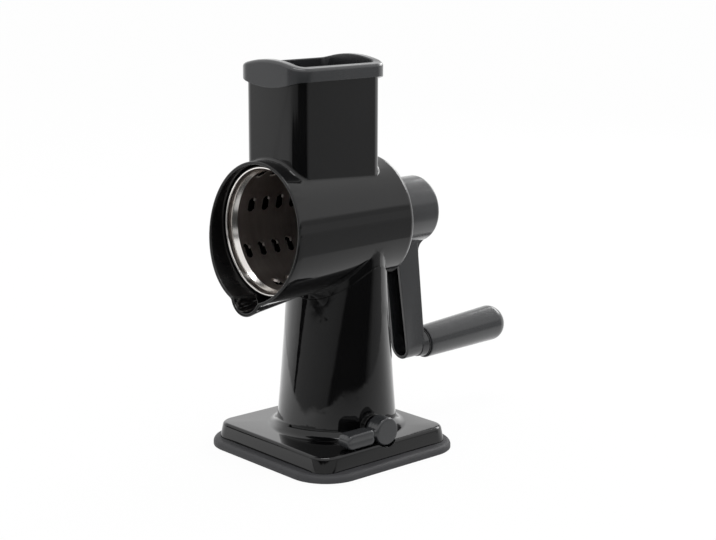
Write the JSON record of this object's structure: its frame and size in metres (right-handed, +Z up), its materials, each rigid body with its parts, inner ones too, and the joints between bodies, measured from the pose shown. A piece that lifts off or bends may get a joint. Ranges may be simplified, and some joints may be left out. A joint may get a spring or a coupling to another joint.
{
  "type": "rotary cabbage shredder",
  "caption": "Hand-cranked rotary vegetable shredder: steel drum in a slanting black barrel with a square feed chute, on a column with a suction base and lever",
  "frame": {"origin": "centre of the suction foot's underside, on the table", "axes": "+Z up, +X along the drum towards the crank, +Y away from the side with the suction lever"},
  "size_m": [0.237, 0.13, 0.2636],
  "materials": {
    "black_gloss": "polished black moulded plastic",
    "black_matte": "plain black moulded plastic",
    "grey_matte": "fine satin dark grey plastic",
    "foot_rubber": "matte dark grey rubber",
    "bearing_plastic": "off-white self-lubricating plastic",
    "drum_steel": "rolled stainless sheet, drawn round the drum",
    "plain_steel": "turned and zinc plated steel"
  },
  "bodies": {
    "stand": {"suction_foot": "foot_rubber", "suction_membrane": "foot_rubber", "pedestal": "black_gloss", "bottom_plate": "black_matte", "base_screws": "plain_steel", "neck_screws": "plain_steel", "barrel_housing": "black_gloss", "shaft_bush": "bearing_plastic", "chute_rim": "grey_matte", "lever_bush": "bearing_plastic"},
    "crank": {"crank_arm": "grey_matte", "drive_shaft": "plain_steel", "crank_screw": "plain_steel", "hub_plug": "grey_matte", "grip_pin": "plain_steel"},
    "grip": {"grip": "grey_matte", "grip_washer": "black_matte"},
    "drum": {"drum_shell": "drum_steel", "drum_ring": "drum_steel", "drum_end": "black_matte"},
    "lever": {"lever_knob": "grey_matte", "cam_shaft": "plain_steel", "shaft_clip": "plain_steel"},
    "plunger": {"pull_yoke": "bearing_plastic", "membrane_plate": "plain_steel"}
  },
  "joints": [
    {"name": "crank_turn", "type": "hinge", "parent": "stand", "child": "crank", "pos_m": [0, 0, 0.154], "axis": [1, 0, 0], "continuous": true},
    {"name": "grip_spin", "type": "hinge", "parent": "crank", "child": "grip", "pos_m": [0.07976, 0, 0.0568], "axis": [0.9992, 0, 0.0401], "continuous": true},
    {"name": "drum_pull", "type": "slide", "parent": "crank", "child": "drum", "axis": [-1, 0, 0], "range_m": [0, 0.095]},
    {"name": "lever_turn", "type": "hinge", "parent": "stand", "child": "lever", "pos_m": [0, 0, 0.022], "axis": [0, 1, 0], "range_deg": [0, 180]},
    {"name": "plunger_lift", "type": "slide", "parent": "stand", "child": "plunger", "axis": [0, 0, 1], "range_m": [0, 0.0025], "deforming": ["suction_membrane"]}
  ],
  "couplings": [
    {"joint": "plunger_lift", "follows": "lever_turn", "m_per_rad": 0.00079577}
  ]
}
